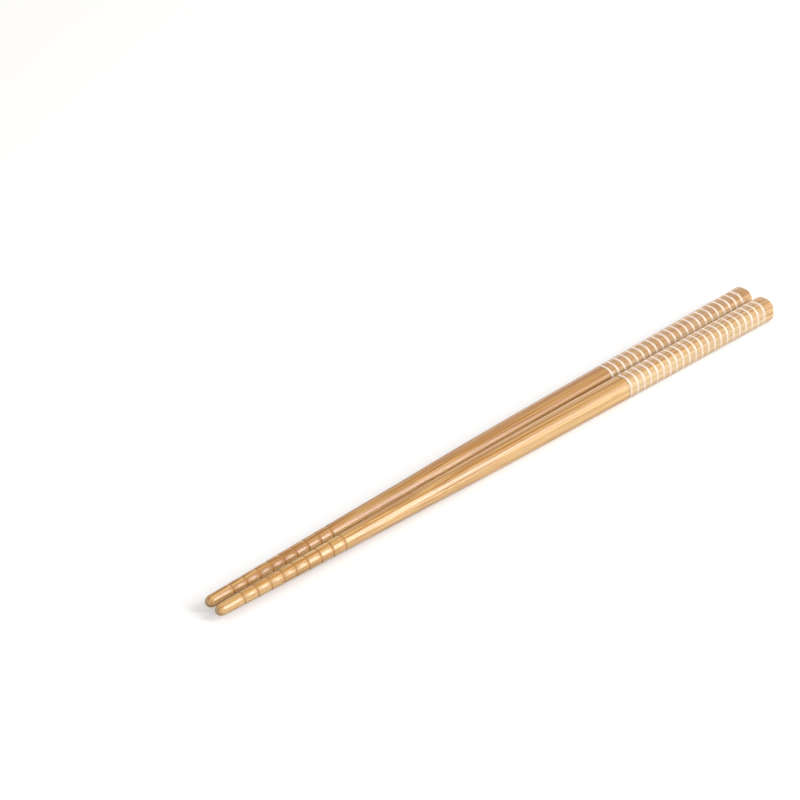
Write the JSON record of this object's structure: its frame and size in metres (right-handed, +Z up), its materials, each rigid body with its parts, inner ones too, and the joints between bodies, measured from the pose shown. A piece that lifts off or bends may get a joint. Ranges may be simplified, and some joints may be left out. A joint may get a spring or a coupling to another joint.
{
  "type": "pair of bamboo chopsticks",
  "caption": "Straight sticks for eating that lie side by side, each tapering from a rounded square handle with a printed coat to a round tip with turned grip grooves.",
  "frame": {"origin": "middle of the pair's footprint, on the plane that the handles lie on", "axes": "+X from the tips to the handle ends, +Y from the front stick to the back stick, +Z up"},
  "size_m": [0.2406, 0.019, 0.0085],
  "materials": {
    "bamboo": "bamboo under clear gloss lacquer",
    "handle_print": "gloss printed coat with white rings"
  },
  "bodies": {
    "root": {"front_chopstick": "bamboo", "back_chopstick": "bamboo", "front_print": "handle_print", "back_print": "handle_print"}
  },
  "joints": []
}
